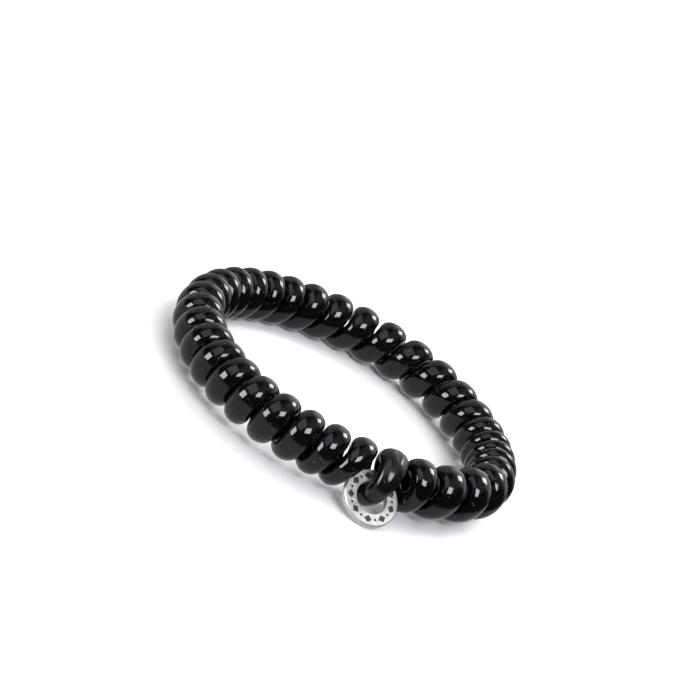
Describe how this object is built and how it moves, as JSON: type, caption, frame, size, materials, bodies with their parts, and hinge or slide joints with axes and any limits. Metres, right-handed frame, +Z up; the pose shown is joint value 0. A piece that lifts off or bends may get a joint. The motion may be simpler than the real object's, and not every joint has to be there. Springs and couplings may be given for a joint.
{
  "type": "spiral hair tie",
  "caption": "Closed ring of a glossy black elastic strand wound as a coil, with a small polished steel ring threaded on the coil.",
  "frame": {"origin": "middle of the ring's centre line seen from above, on the surface that the tie rests on", "axes": "+Z up, through the open middle of the ring; -Y towards the side where the charm is, which is right of the middle there"},
  "size_m": [0.0574, 0.057, 0.0097],
  "materials": {
    "elastic": "glossy black thermoplastic elastomer",
    "steel": "polished stainless steel",
    "filling": "matt black enamel"
  },
  "bodies": {
    "root": {"coil": "elastic", "charm_ring": "steel", "charm_inlay": "filling"}
  },
  "joints": []
}
